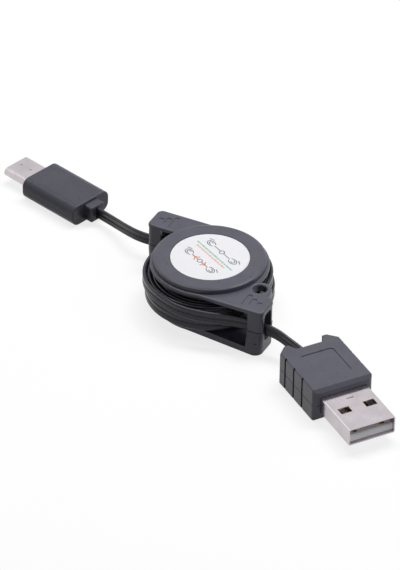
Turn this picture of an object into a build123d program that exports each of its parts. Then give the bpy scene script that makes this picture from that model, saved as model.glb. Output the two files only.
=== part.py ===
"""Retractable charging cable: a two-ended reel of flat ribbon with a wide plug and a small oval plug.

Millimetres, +Z up. The reel stands on the table at z = 0 with its spool's axis on Z. +X is the pull axis,
with the front ear at +X on the -Y side. The rear ear is the front one turned half round about Z.
"""
import math
import os

from build123d import *

# Reel covers
PLATE_R = 14.15         # round plate of the upper cover
UPPER_PLATE = 0.9       # its thickness
DISC_LEDGE = 0.75       # from the plate's edge to the raised disc on it
DISC_RISE = 1.25        # the disc's top above the ears' top
RIM_BEVEL = 0.5         # width of the bevel round the disc's top
RIM_DROP = 0.26         # height of that bevel
RIM_ROLL = 0.2          # rounding below it
RIM_WALL = 1.5          # skirt under the plate's edge
CAP = 1.35              # thickness of the disc
EAR_REACH = 20.35       # from the axis to an ear's end face
EAR_INSET = 0.4         # an ear's long edge inside the round plate's side
EAR_WIDTH = 7.05
EAR_HEIGHT = 11.75      # from the table to the ears' top
EAR_CORNER = 1.5
EDGE_ROLL = 0.5         # rolled edge of the upper cover's plate
WALL_SET = 0.12         # the upper cover's walls inside its plate's edge
FOOT_R = 12.85          # round plate of the lower cover
LOWER_PLATE = 1.2
FOOT_ROLL = 0.3         # rolled edge of the lower cover's plate
FOOT_INSET = 0.1        # a lower ear's long edge inside that plate's side
FOOT_FLARE = 6.2        # degrees by which the lower ears widen towards their ends
FOOT_CORNER = 2.0
EAR_FLOOR = 1.9         # thickness of the lower ears
END_WALL = 1.2
SIDE_WALL = 1.0
POST_LENGTH = 3.75
POST_DEPTH = 1.4
PEG_R = 0.45
PEG_LENGTH = 1.6
SNUG = 0.05             # clearance of what is pushed together
SLOT_WIDTH = 3.7
SLOT_HEIGHT = 7.2
SLOT_CORNER = 1.1
SLOT_OFFSET = 0.2       # from the post to the slot
SLOT_DOWN = 1.55        # from the ears' top to the slot
MARK_WIDTH = 1.2        # shallow bars in the ears' tops
MARK_DEPTH = 0.12
MARK_CORNER = 0.3
MARK_LENGTHS = (4.5, 2.5, 0.95)
MARK_PITCH = 1.65
MARK_START = 6.25       # from the ear's end to the first bar
MARK_OFFSET = 0.1       # from the ear's middle to the bars' middle
DOT_R = 0.35            # moulded dot on the lower post
DOT_DEPTH = 0.25
DOT_HEIGHT = 3.4
DOT_BACK = 1.25         # from the ear's end
EYE_HOLE_R = 1.65       # lanyard eye beside the front ear
EYE_WALL = 1.15
EYE_HEIGHT = 1.9
EYE_LAND = 0.2          # from the round plate to the hole
EYE_GAP = 0.45          # from the ear to the hole
EYE_SUNK = 0.5          # how far the eye runs into the plate and the ear

# Label and the screw under it
LABEL_R = 9.38
LABEL_T = 0.15
LABEL_POCKET = 0.25
LABEL_CLEAR = 0.12
SCREW_R = 0.74
SCREW_HEAD_R = 1.85
SCREW_LENGTH = 6.5
SCREW_POINT = 0.7
SCREW_SUNK = 0.1        # the head below the label
CROSS_WIDTH = 0.4
CROSS_DEPTH = 0.5

# Spool, spring and ratchet
GAP = 0.3               # between the spool and the covers
RUN = 0.08              # running clearance of the spool on its bearings
SHAFT_R = 2.2
SEAT_R = 3.4            # step around the shaft's foot
SEAT_HEIGHT = 0.7
RING_WIDTH = 0.8        # ring on the lower cover that the drum turns on
RING_HEIGHT = 0.8
DRUM_R = 10.2
DRUM_WALL = 0.9
FLANGE_R = 13.3
FLANGE = 0.65
WEB = 2.15              # solid top of the spool, which holds the track
TRACK_IN = 4.2
TRACK_DEPTH = 0.6
TRACK_EDGE = 0.7        # land outside the track
ISLAND_WIDTH = 0.7
ISLAND_SPAN = 62.0      # degrees
ISLANDS = 3
CATCH_R = 0.45          # notch that catches the ball
BALL_R = 0.7
BALL_CLEAR = 0.3
BALL_LIFT = 0.12        # play of the ball under its guide
BALL_ANGLE = 90.0
SPRING_T = 0.2
SPRING_WIDTH = 6.3
SPRING_TURNS = 7
SPRING_CLEAR = 0.12
HOOK_WIDTH = 0.4        # slits that hold the spring's two ends
HOOK_DEPTH = 0.6
HOOK_IN = 0.85          # from the axis to the inner slit's floor
HOOK_ANGLE = 40.0
ANCHOR_ANGLE = 200.0
ANCHOR_WIDTH = 1.2      # slit in the drum that the ribbon is folded through

# Ribbon
RIBBON_WIDTH = 3.1
RIBBON_T = 0.95
CORES = 4
CORE_GROOVE = 0.15      # depth of the grooves between the cores
RIBBON_ROUND = 0.4      # the ribbon's rounded edges
TURNS = 5
TURN_GAP = 0.1
TAIL_GAP = 0.1          # between the outermost turn and the tail that leaves it
INLET_CLEAR = 0.12      # around the ribbon where it enters the wide plug
FRONT_EXIT_OUT = 0.65   # the ribbon in the front ear's slot, outwards from the slot's middle
FRONT_EXIT_Z = 6.0
REAR_EXIT_OUT = -0.75
REAR_EXIT_Z = 5.1
TAIL_LEAD = 1.6         # straight stretch outside a plug
TAIL_WRAP = 40.0        # degrees of the coil that the tail still follows
SLOT_BEND = 0.25        # share of a tail's bend that is left inside its slot
TAIL_SECTIONS = 5       # along each stretch of a tail

# Wide plug: where its nose is, and its sizes in its own frame
A_NOSE_X = 57.8
A_NOSE_Y = -33.2
A_YAW = -36.3
A_SHELL_WIDTH = 12.0
A_SHELL_HEIGHT = 4.5
A_SHELL_WALL = 0.3
A_SHELL_CORNER = 0.45
A_SHELL_OUT = 13.5      # bare length of the metal shell
A_SHELL_IN = 7.0        # length inside the case
A_WINDOW = (2.1, 2.8)   # length and width of the two windows
A_WINDOW_BACK = 7.0     # from the nose to their middle
A_WINDOW_APART = 6.5
A_DIMPLE_R = 0.95
A_DIMPLE_BACK = 10.9
A_DIMPLE_DEPTH = 0.2
A_CASE_WIDTH = 15.4
A_CASE_HEIGHT = 8.66
A_CASE_LENGTH = 18.9
A_CASE_WALL = 1.2
A_CASE_EDGE = 0.3
A_CASE_CORNER = 1.2
A_NOSE_BEVEL = 0.78     # larger bevel along the front edges
A_BEVEL = 2.2           # rear corners, cut at 45 degrees
A_HORN = 1.1            # width of a horn's tip
A_NOTCH_DEPTH = 2.05
A_NOTCH_WIDTH = 6.5
A_GROOVES = 3           # grip grooves on each side
A_GROOVE_START = 6.2
A_GROOVE_PITCH = 4.1
A_GROOVE_WIDTH = 0.65
A_GROOVE_DEPTH = 0.38
A_SEAM = 0.15           # depth of the line where the halves meet
A_LINE_WIDTH = 0.36     # engraved angle on the top
A_LINE_DEPTH = 0.16
A_LINE_BACK = 13.4
A_LINE_SIDE = 4.1
A_LINE_ACROSS = 8.1
A_LINE_FRONT = 4.3
A_LINE_BEND = 0.7
A_INSERT_T = 1.85
A_INSERT_SETBACK = 0.6  # from the nose to the insert's front
A_BLOCK_LENGTH = 5.9    # full-height rear of the insert
A_CONTACT_WIDTH = 1.0
A_CONTACT_T = 0.18
A_CONTACT_AT = (-3.5, -1.0, 1.0, 3.5)
A_CONTACT_TIPS = (1.5, 2.5, 2.5, 1.5)    # from the nose
A_CONTACT_TAIL = 2.2    # behind the shell
A_WIRE_R = 0.3
A_RIBBON_PAST = 1.0     # of the ribbon inside the case's rear wall

# Small plug
C_NOSE_X = -65.97
C_NOSE_Y = 25.38
C_YAW = 162.8
C_SHELL_WIDTH = 8.25
C_SHELL_HEIGHT = 2.4
C_SHELL_WALL = 0.25
C_SHELL_OUT = 8.2
C_SHELL_IN = 4.0
C_DIMPLE_R = 0.4
C_DIMPLE_DEPTH = 0.12
C_DIMPLE_BACK = (1.8, 5.0)
C_CASE_WIDTH = 12.2
C_CASE_HEIGHT = 5.6
C_CASE_LENGTH = 17.8
C_CASE_CORNER = 2.1
C_CASE_WALL = 0.6
C_CASE_SIDE = 1.05
C_CASE_FRONT = 1.3
C_CASE_REAR = 1.5
C_NOSE_ROUND = 0.5
C_REAR_ROUND = 0.3
C_BOOT_WIDTH = 4.6
C_BOOT_HEIGHT = 4.3
C_BOOT_LENGTH = 2.4
C_BOOT_ROUND = 0.6
C_BOOT_EDGE = 0.35
C_NECK_WIDTH = 2.6
C_NECK_WALL = 0.3       # above and below the ribbon
C_COLLAR_WIDTH = 5.2
C_COLLAR = 0.6
C_INSULATOR_SETBACK = 0.25
C_MOUTH_WIDTH = 7.0
C_MOUTH_HEIGHT = 1.06
C_MOUTH_DEPTH = 5.65
C_CONTACTS = 12         # in each row
C_CONTACT_PITCH = 0.5
C_CONTACT_WIDTH = 0.24
C_CONTACT_T = 0.14
C_CONTACT_SETBACK = 1.3
C_CONTACT_TAIL = 1.5
C_LATCH_T = 0.25
C_LATCH_WIDTH = 0.5
C_LATCH_LENGTH = 8.3
C_LATCH_SETBACK = 1.5
C_BOARD_LENGTH = 5.1
C_BOARD_WIDTH = 7.2
C_BOARD_T = 0.72
C_CHIP = (1.0, 0.5, 0.36)
C_WIRE_R = 0.26
C_RIBBON_PAST = 0.2     # of the ribbon inside the boot's collar

# Heights and radii that follow from the sizes above
TOP = EAR_HEIGHT + DISC_RISE
PARTING = EAR_HEIGHT / 2
DISC_R = PLATE_R - DISC_LEDGE
SKIRT_R = PLATE_R - RIM_WALL
EAR_EDGE = PLATE_R - EAR_INSET
EAR_INNER = EAR_EDGE - EAR_WIDTH
SLOT_MID = EAR_EDGE - POST_DEPTH - SLOT_OFFSET - SLOT_WIDTH / 2
SKIRT_Z = EAR_HEIGHT - UPPER_PLATE
CAP_Z = TOP - CAP
SPOOL_Z0 = LOWER_PLATE + GAP
SPOOL_Z1 = CAP_Z - GAP
UPPER_FLANGE_Z = SKIRT_Z - GAP - FLANGE
WEB_Z = SPOOL_Z1 - WEB
DRUM_IN = DRUM_R - DRUM_WALL
LANE = 2 * (BALL_R + BALL_CLEAR)
ISLAND_IN = TRACK_IN + LANE
TRACK_OUT = ISLAND_IN + ISLAND_WIDTH + LANE
TRACK_Z = SPOOL_Z1 - TRACK_DEPTH
BALL_NEAR = TRACK_IN + LANE / 2
BALL_FAR = TRACK_OUT - LANE / 2
BALL_Z = TRACK_Z + BALL_R
COIL_IN = DRUM_R + TURN_GAP
TURN_PITCH = RIBBON_T + TURN_GAP
COIL_OUT = COIL_IN + TURNS * TURN_PITCH
COIL_LOW = SPOOL_Z0 + FLANGE
COIL_ROOM = UPPER_FLANGE_Z - COIL_LOW
LOWER_MID = COIL_LOW + COIL_ROOM / 4
UPPER_MID = COIL_LOW + COIL_ROOM * 3 / 4
CORE_PITCH = (RIBBON_WIDTH - RIBBON_T) / (CORES - 1)
CORE_AT = [(k - (CORES - 1) / 2) * CORE_PITCH for k in range(CORES)]
SPRING_Z = SPOOL_Z0 + FLANGE
A_RIBBON_END = -A_CASE_LENGTH + A_NOTCH_DEPTH + A_CASE_WALL + A_RIBBON_PAST
C_RIBBON_END = -C_CASE_LENGTH + C_CASE_REAR + C_COLLAR + C_RIBBON_PAST
FAR = 60.0              # longer than any cut needs


def bar(x0, x1, y0, y1, z0, z1):
    size = (abs(x1 - x0), abs(y1 - y0), abs(z1 - z0))
    return Pos((x0 + x1) / 2, (y0 + y1) / 2, (z0 + z1) / 2) * Box(*size)


def rod(x, y, r, z0, z1):
    return Pos(x, y, (z0 + z1) / 2) * Cylinder(r, z1 - z0)


def ring(r0, r1, z0, z1):
    return rod(0, 0, r1, z0, z1) - rod(0, 0, r0, z0, z1)


def turned(profile):
    """A solid of revolution about Z from a face drawn in radius and height."""
    return revolve(Plane.XZ * profile, Axis.Z)


def half_turn(shape):
    """The shape and its image turned half round about the spool's axis."""
    return shape + Rot(0, 0, 180) * shape


def tube(face, x0, x1):
    """A face drawn in Y and Z, drawn out along X."""
    return Pos(x0, 0, 0) * extrude(Plane.YZ * face, x1 - x0)


# Covers

def upper_plan():
    """A disc with an ear at each end, on opposite sides, and the lanyard eye."""
    ear = Pos(EAR_REACH / 2, -EAR_EDGE + EAR_WIDTH / 2) * Rectangle(EAR_REACH, EAR_WIDTH)
    ear = fillet(ear.vertices().sort_by(Axis.X)[-2:], EAR_CORNER)
    return Circle(PLATE_R) + half_turn(ear) + eye_plan(EAR_CORNER)


def flared_edge(x):
    """Y of the front lower ear's long edge, which slants outwards from the round plate."""
    flare = math.radians(FOOT_FLARE)
    return -(FOOT_R - FOOT_INSET) / math.cos(flare) - x * math.tan(flare)


def ear_end(x0, x1, front0, front1, inner, corner):
    """A front ear from above between two X, with a long edge from front0 to front1 and a rounded end."""
    face = make_face(Polyline((x0, front0), (x1, front1), (x1, inner), (x0, inner), close=True))
    return fillet(face.vertices().sort_by(Axis.X)[-2:], corner)


def lower_ear(x0):
    return ear_end(x0, EAR_REACH, flared_edge(x0), flared_edge(EAR_REACH), -EAR_INNER, FOOT_CORNER)


def ear_room():
    """The space in the front ear, open towards the coil, that the ribbon runs through."""
    return bar(0, EAR_REACH - END_WALL, -EAR_EDGE + POST_DEPTH, -EAR_INNER - SIDE_WALL, 0, FAR)


def upper_walls():
    """The upper half of the front ear's post, end wall and inner wall."""
    front = -EAR_EDGE + WALL_SET
    inner = -EAR_INNER - WALL_SET
    end = EAR_REACH - WALL_SET
    outline = ear_end(EAR_REACH - POST_LENGTH, end, front, front, inner, EAR_CORNER - WALL_SET)
    return extrude(Pos(0, 0, PARTING) * outline, SKIRT_Z - PARTING) - ear_room()


def lower_walls():
    """The lower half, which widens from the parting line down to the flared ear."""
    x0 = EAR_REACH - POST_LENGTH
    high = ear_end(x0, EAR_REACH, -EAR_EDGE, -EAR_EDGE, -EAR_INNER, EAR_CORNER)
    return loft([Pos(0, 0, EAR_FLOOR) * lower_ear(x0), Pos(0, 0, PARTING) * high]) - ear_room()


def exit_slot():
    """The rounded opening in the front ear's end wall that the ribbon leaves by."""
    face = Pos(-SLOT_MID, EAR_HEIGHT - SLOT_DOWN - SLOT_HEIGHT / 2)
    face *= RectangleRounded(SLOT_WIDTH, SLOT_HEIGHT, SLOT_CORNER)
    return tube(face, EAR_REACH - 2 * END_WALL, EAR_REACH + END_WALL)


def peg(r, length):
    """The pin in the front ear's post that lines the two covers up."""
    x = EAR_REACH - POST_LENGTH / 2
    return rod(x, -EAR_EDGE + POST_DEPTH / 2, r, PARTING - length, PARTING + PEG_LENGTH)


def ear_marks():
    """Shallow bars across the front ear, shorter towards its end."""
    y = -EAR_EDGE + EAR_WIDTH / 2 + MARK_OFFSET
    bars = []
    for k, length in enumerate(MARK_LENGTHS):
        x = EAR_REACH - MARK_START + k * MARK_PITCH + MARK_WIDTH / 2
        face = Pos(x, y, EAR_HEIGHT - MARK_DEPTH) * RectangleRounded(MARK_WIDTH, length, MARK_CORNER)
        bars.append(extrude(face, DISC_RISE))
    return bars


def eye_centre():
    """The eye stands between the round plate and the front ear's inner side."""
    y = -EAR_INNER + EYE_GAP + EYE_HOLE_R
    out = PLATE_R + EYE_LAND + EYE_HOLE_R
    return math.sqrt(out ** 2 - y ** 2), y


def eye_plan(sunk):
    """The eye from above: round at the back, and as wide as that down to the ear and some way into it."""
    x, y = eye_centre()
    r = EYE_HOLE_R + EYE_WALL
    left = x - r - EYE_SUNK
    front = -EAR_INNER - sunk
    foot = Pos((left + x + r) / 2, (front + y) / 2) * Rectangle(x + r - left, y - front)
    return Pos(x, y) * Circle(r) + foot


def disc_profile():
    """Half of the raised disc: a flat top, a bevel that rolls into the side, and a skirt below."""
    edge = (DISC_R, TOP - RIM_DROP)
    inside = [(0, TOP), (0, CAP_Z), (SKIRT_R, CAP_Z), (SKIRT_R, SKIRT_Z)]
    outside = [(DISC_R, SKIRT_Z), edge, (DISC_R - RIM_BEVEL, TOP)]
    face = make_face(Polyline(*inside, *outside, close=True))
    return fillet(face.vertices().sort_by_distance((*edge, 0))[0], RIM_ROLL)


def make_upper_cover():
    eye_hole = rod(*eye_centre(), EYE_HOLE_R, 0, FAR)
    plate = extrude(Pos(0, 0, SKIRT_Z) * upper_plan(), UPPER_PLATE) - eye_hole
    plate = fillet(plate.faces().sort_by(Axis.Z)[-1].edges(), EDGE_ROLL)
    eye = extrude(Pos(0, 0, EAR_HEIGHT - EYE_HEIGHT) * eye_plan(EYE_SUNK), EYE_HEIGHT - UPPER_PLATE)
    eye -= rod(0, 0, PLATE_R, 0, FAR)
    cover = plate + half_turn(upper_walls()) + (eye - eye_hole)
    cover -= rod(0, 0, SKIRT_R, 0, TOP)
    cover += turned(disc_profile())
    cover -= half_turn(exit_slot())
    for mark in ear_marks():
        cover -= half_turn(mark)
    cover -= rod(0, 0, LABEL_R + LABEL_CLEAR, TOP - LABEL_POCKET, FAR)
    cover -= screw_shape(SNUG)
    guide_width = 2 * (BALL_R + BALL_CLEAR)
    guide_length = BALL_FAR - BALL_NEAR + guide_width
    guide_top = BALL_Z + BALL_R + BALL_LIFT
    guide = bar(0, guide_length, -guide_width / 2, guide_width / 2, SKIRT_Z, guide_top)
    cover -= Rot(0, 0, BALL_ANGLE) * Pos(BALL_NEAR - guide_width / 2, 0, 0) * guide
    return cover + half_turn(peg(PEG_R, PEG_LENGTH))


def post_dot():
    """The moulded dot near the foot of the front ear's leaning post."""
    x = EAR_REACH - DOT_BACK
    share = (PARTING - DOT_HEIGHT) / (PARTING - EAR_FLOOR)
    y = -EAR_EDGE + share * (flared_edge(x) + EAR_EDGE)
    return Pos(x, y, DOT_HEIGHT) * Rot(90, 0, 0) * Cylinder(DOT_R, 2 * DOT_DEPTH)


def make_lower_cover():
    plate = extrude(Circle(FOOT_R) + half_turn(lower_ear(0)), LOWER_PLATE)
    plate = fillet(plate.faces().sort_by(Axis.Z)[0].outer_wire().edges(), FOOT_ROLL)
    floor = extrude(Pos(0, 0, LOWER_PLATE) * lower_ear(0), EAR_FLOOR - LOWER_PLATE)
    floor -= rod(0, 0, FLANGE_R + GAP, 0, FAR)
    cover = plate + half_turn(floor + lower_walls())
    bearing = DRUM_IN - RUN
    cover += ring(bearing - RING_WIDTH, bearing, LOWER_PLATE, LOWER_PLATE + RING_HEIGHT)
    cover += rod(0, 0, SEAT_R, LOWER_PLATE, LOWER_PLATE + SEAT_HEIGHT)
    cover += rod(0, 0, SHAFT_R, LOWER_PLATE, CAP_Z - SNUG)
    cover -= half_turn(exit_slot())
    cover -= screw_shape(SNUG)
    slit_top = SPRING_Z + SPRING_WIDTH + GAP
    slit = bar(HOOK_IN, SEAT_R, -HOOK_WIDTH / 2, HOOK_WIDTH / 2, SPRING_Z - GAP, slit_top)
    cover -= Rot(0, 0, HOOK_ANGLE) * slit
    cover -= half_turn(peg(PEG_R + SNUG, PEG_LENGTH + SNUG))
    return cover - half_turn(post_dot())


# Label and screw

def make_label():
    floor = TOP - LABEL_POCKET
    return rod(0, 0, LABEL_R, floor, floor + LABEL_T)


def screw_shape(clear):
    """A countersunk screw, or the hole for it when there is a clearance."""
    top = TOP - LABEL_POCKET
    head_z = top - SCREW_SUNK - (SCREW_HEAD_R - SCREW_R)
    end = top - SCREW_LENGTH - clear
    r = SCREW_R + clear
    head_r = SCREW_HEAD_R + clear
    side = [(0, end), (r / 2, end), (r, end + SCREW_POINT), (r, head_z), (head_r, top - SCREW_SUNK)]
    return turned(make_face(Polyline(*side, (head_r, top), (0, top), close=True)))


def make_screw():
    top = TOP - LABEL_POCKET
    screw = screw_shape(0)
    screw -= bar(-FAR, FAR, -FAR, FAR, top - SNUG, FAR)
    for angle in (0, 90):
        slot = bar(-SCREW_R, SCREW_R, -CROSS_WIDTH / 2, CROSS_WIDTH / 2, top - CROSS_DEPTH, FAR)
        screw -= Rot(0, 0, angle) * slot
    return screw


# Spool, spring and ball

def make_spool():
    low_flange = SPOOL_Z0 + FLANGE
    high_flange = UPPER_FLANGE_Z + FLANGE
    bore = SHAFT_R + RUN
    land = TRACK_OUT + TRACK_EDGE
    side = [
        (bore, WEB_Z), (DRUM_IN, WEB_Z), (DRUM_IN, SPOOL_Z0), (FLANGE_R, SPOOL_Z0), (FLANGE_R, low_flange),
        (DRUM_R, low_flange), (DRUM_R, UPPER_FLANGE_Z), (FLANGE_R, UPPER_FLANGE_Z), (FLANGE_R, high_flange),
        (land, high_flange), (land, SPOOL_Z1), (bore, SPOOL_Z1),
    ]
    spool = turned(make_face(Polyline(*side, close=True)))
    spool -= ratchet_track()
    hook = bar(0, DRUM_IN + HOOK_DEPTH, -HOOK_WIDTH / 2, HOOK_WIDTH / 2, SPRING_Z, SPRING_Z + SPRING_WIDTH)
    hook -= rod(0, 0, DRUM_IN - DRUM_WALL, 0, FAR)
    spool -= Rot(0, 0, HOOK_ANGLE) * hook
    anchor = bar(DRUM_IN - DRUM_WALL, DRUM_R + FLANGE, -ANCHOR_WIDTH / 2, ANCHOR_WIDTH / 2, low_flange, WEB_Z)
    return spool - Rot(0, 0, ANCHOR_ANGLE) * anchor


def ratchet_track():
    """The ring-shaped track with two lanes, parted by islands that have a catch for the ball."""
    track = ring(TRACK_IN, TRACK_OUT, TRACK_Z, FAR)
    reach = TRACK_OUT / math.cos(math.radians(ISLAND_SPAN / 2))
    spread = math.radians(ISLAND_SPAN / 2)
    corner = (reach * math.cos(spread), reach * math.sin(spread))
    wedge = extrude(make_face(Polyline((0, 0), corner, (corner[0], -corner[1]), close=True)), FAR)
    island = ring(ISLAND_IN, ISLAND_IN + ISLAND_WIDTH, 0, FAR) & wedge
    island -= Rot(0, 0, -ISLAND_SPAN / 5) * rod(ISLAND_IN, 0, CATCH_R, 0, FAR)
    for k in range(ISLANDS):
        track -= Rot(0, 0, BALL_ANGLE + (k + 0.5) * 360 / ISLANDS) * island
    return track


def make_spring():
    """A spiral of half-turns about two centres, hooked in the drum and in the shaft."""
    outer_r = DRUM_IN - SPRING_CLEAR - SPRING_T
    inner_r = SHAFT_R + SPRING_CLEAR
    halves = 2 * SPRING_TURNS
    step = (outer_r - inner_r) / halves
    inside = []
    outside = []
    for k in range(halves):
        centre = (-step * (k % 2), 0)
        start = 180 * (k % 2)
        inside.append(CenterArc(centre, outer_r - k * step, start, 180))
        outside.append(CenterArc(centre, outer_r + SPRING_T - k * step, start, 180))
    ends = [Line(inside[i] @ j, outside[i] @ j) for i, j in ((0, 0), (-1, 1))]
    strip = make_face(inside + outside + ends)
    low = SPRING_Z + SPRING_CLEAR
    high = SPRING_Z + SPRING_WIDTH - SPRING_CLEAR
    spring = extrude(Pos(0, 0, low) * strip, high - low)
    spring += bar(outer_r, DRUM_IN + HOOK_DEPTH - SPRING_CLEAR, 0, SPRING_T, low, high)
    tab_end = (outside[-1] @ 1).X
    spring += bar(HOOK_IN + SPRING_CLEAR, tab_end, -SPRING_T, 0, low, high)
    return Rot(0, 0, HOOK_ANGLE) * spring


def make_ball():
    return Rot(0, 0, BALL_ANGLE) * Pos(BALL_NEAR, 0, BALL_Z + BALL_LIFT / 4) * Sphere(BALL_R)


# Ribbon

def make_winding(mid):
    """One plain ring for a level's turns, grooved outside between the ribbon's cores."""
    edge = RIBBON_WIDTH / 2
    profile = Pos((COIL_IN + COIL_OUT) / 2, mid) * Rectangle(COIL_OUT - COIL_IN, RIBBON_WIDTH)
    profile = chamfer(profile.vertices(), CORE_GROOVE)
    for k in range(CORES - 1):
        z = mid - edge + (k + 1) * RIBBON_WIDTH / CORES
        mouth = [(COIL_OUT, z - CORE_GROOVE), (COIL_OUT - CORE_GROOVE, z), (COIL_OUT, z + CORE_GROOVE)]
        profile -= make_face(Polyline(*mouth, close=True))
    return turned(profile)


def behind(nose_x, nose_y, yaw, back):
    """A point behind a plug's nose, seen from above."""
    a = math.radians(yaw)
    return (nose_x - back * math.cos(a), nose_y - back * math.sin(a))


def make_tail(coil_z, slot_y, slot_z, plug_z, entry):
    """The ribbon on its edge, from the coil's outermost turn through the front ear's slot to a plug.
    entry is the two ends of the straight stretch into the plug, seen from above."""
    r = COIL_OUT + RIBBON_T / 2 + TAIL_GAP
    slot = Vector(EAR_REACH - END_WALL / 2, -slot_y)
    lead, end = entry
    leave = math.degrees(math.atan2(slot.Y, slot.X) - math.acos(r / slot.length))
    wrap = CenterArc((0, 0), r, leave - TAIL_WRAP, TAIL_WRAP)
    inlet = Line(lead, end)
    turn = (slot - wrap @ 1).normalized() * SLOT_BEND + (inlet @ 0 - slot).normalized() * (1 - SLOT_BEND)
    inside = Spline(wrap @ 1, slot, tangents=(wrap % 1, turn))
    outside = Spline(slot, lead, tangents=(turn, inlet % 0))
    slopes = [
        (wrap, coil_z, coil_z), (inside, coil_z, slot_z), (outside, slot_z, plug_z), (inlet, plug_z, plug_z),
    ]
    sections = []
    for line, z0, z1 in slopes:
        for k in range(TAIL_SECTIONS):
            sections.append(ribbon_section(line, k / TAIL_SECTIONS, z0, z1))
    sections.append(ribbon_section(inlet, 1, plug_z, plug_z))
    return loft(sections)


def ribbon_section(line, share, z0, z1):
    """The ribbon's upright section at a share of a line's length, on an easy slope from z0 to z1."""
    heading = line % share
    at = line @ share
    z = z0 + (z1 - z0) * share * share * (3 - 2 * share)
    station = Plane(origin=(at.X, at.Y, z), x_dir=(-heading.Y, heading.X, 0), z_dir=(heading.X, heading.Y, 0))
    return station * RectangleRounded(RIBBON_T, RIBBON_WIDTH, RIBBON_ROUND)


# Wide plug, in its own frame: x forward from the case's front face, z from its mid-height

def a_outline():
    """The case seen from above: bevelled rear corners and a notch between two horns."""
    half = A_CASE_WIDTH / 2
    rear = -A_CASE_LENGTH
    horn_out = half - A_BEVEL
    side = [
        (0, half), (rear + A_BEVEL, half), (rear, horn_out), (rear, horn_out - A_HORN),
        (rear + A_NOTCH_DEPTH, A_NOTCH_WIDTH / 2),
    ]
    return make_face(Polyline(*side, *[(x, -y) for x, y in reversed(side)], close=True))


def a_case():
    """The whole case, before it is parted at mid-height."""
    half = A_CASE_WIDTH / 2
    high = A_CASE_HEIGHT / 2
    case = extrude(Pos(0, 0, -high) * a_outline(), A_CASE_HEIGHT)
    case = fillet(case.edges().filter_by(Axis.Z).sort_by(Axis.X)[-2:], A_CASE_CORNER)
    levels = case.faces().sort_by(Axis.Z)
    case = chamfer(levels[0].outer_wire().edges() + levels[-1].outer_wire().edges(), A_CASE_EDGE)
    bevel = A_NOSE_BEVEL * math.sqrt(2)
    for z in (-high, high):
        case -= Pos(0, 0, z) * Rot(0, 45, 0) * Box(bevel, A_CASE_WIDTH, bevel)
    room_y = half - A_CASE_WALL
    room_z = high - A_CASE_WALL
    room_end = -A_CASE_LENGTH + A_NOTCH_DEPTH + A_CASE_WALL
    case -= bar(room_end, -A_CASE_WALL, -room_y, room_y, -room_z, room_z)
    mouth = RectangleRounded(A_SHELL_WIDTH + 2 * SNUG, A_SHELL_HEIGHT + 2 * SNUG, A_SHELL_CORNER)
    case -= tube(mouth, -2 * A_CASE_WALL, A_CASE_WALL)
    inlet = Rectangle(RIBBON_T + 2 * INLET_CLEAR, RIBBON_WIDTH + 2 * INLET_CLEAR)
    case -= tube(inlet, -A_CASE_LENGTH, room_end + A_CASE_WALL)
    for k in range(A_GROOVES):
        x = -A_GROOVE_START - k * A_GROOVE_PITCH
        for y in (-half, half):
            case -= bar(x, x + A_GROOVE_WIDTH, y - A_GROOVE_DEPTH, y + A_GROOVE_DEPTH, -high, high)
    return case - a_engraving()


def a_engraving():
    """The fine angle engraved on the top, with a rounded corner."""
    z0 = A_CASE_HEIGHT / 2 - A_LINE_DEPTH
    z1 = A_CASE_HEIGHT / 2 + A_LINE_DEPTH
    across = Line((-A_LINE_BACK, A_LINE_SIDE - A_LINE_ACROSS), (-A_LINE_BACK, A_LINE_SIDE - A_LINE_BEND))
    bend = RadiusArc(across @ 1, (-A_LINE_BACK + A_LINE_BEND, A_LINE_SIDE), A_LINE_BEND)
    along = Line(bend @ 1, (-A_LINE_FRONT, A_LINE_SIDE))
    stroke = trace(across + bend + along, A_LINE_WIDTH)
    return extrude(Pos(0, 0, z0) * stroke, z1 - z0)


def a_seam():
    """The shallow line around the case where its halves meet."""
    inside = offset(a_outline(), -A_SEAM)
    return extrude(Pos(0, 0, -A_SEAM / 2) * (a_outline() - inside), A_SEAM)


def a_ribs(z0, z1):
    """Ribs across the case that the metal shell is clamped between."""
    back = -A_SHELL_IN + A_CASE_WALL
    width = A_SHELL_WIDTH / 2 - A_CASE_WALL
    return bar(back, -2 * A_CASE_WALL, -width, width, z0, z1)


def make_a_halves():
    case = a_case() - a_seam()
    half = A_CASE_HEIGHT / 2
    clamp = A_SHELL_HEIGHT / 2 + SNUG
    upper = case & bar(-FAR, FAR, -FAR, FAR, 0, FAR)
    lower = case & bar(-FAR, FAR, -FAR, FAR, -FAR, 0)
    upper += a_ribs(clamp, half - A_CASE_WALL)
    lower += a_ribs(-half + A_CASE_WALL, -clamp)
    return upper, lower


def make_a_shell():
    walls = 2 * A_SHELL_WALL
    skin = RectangleRounded(A_SHELL_WIDTH, A_SHELL_HEIGHT, A_SHELL_CORNER)
    skin -= RectangleRounded(A_SHELL_WIDTH - walls, A_SHELL_HEIGHT - walls, A_SHELL_CORNER - A_SHELL_WALL)
    shell = tube(skin, -A_SHELL_IN, A_SHELL_OUT)
    length, width = A_WINDOW
    for y in (-A_WINDOW_APART / 2, A_WINDOW_APART / 2):
        shell -= Pos(A_SHELL_OUT - A_WINDOW_BACK, y, 0) * Box(length, width, 2 * A_SHELL_HEIGHT)
    x = A_SHELL_OUT - A_DIMPLE_BACK
    top = A_SHELL_HEIGHT / 2
    moon = rod(x, 0, A_DIMPLE_R, top - A_DIMPLE_DEPTH, FAR) & bar(x, FAR, -FAR, FAR, 0, FAR)
    return shell - moon


def a_tongue_top():
    return -A_SHELL_HEIGHT / 2 + A_SHELL_WALL + SNUG + A_INSERT_T


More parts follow.
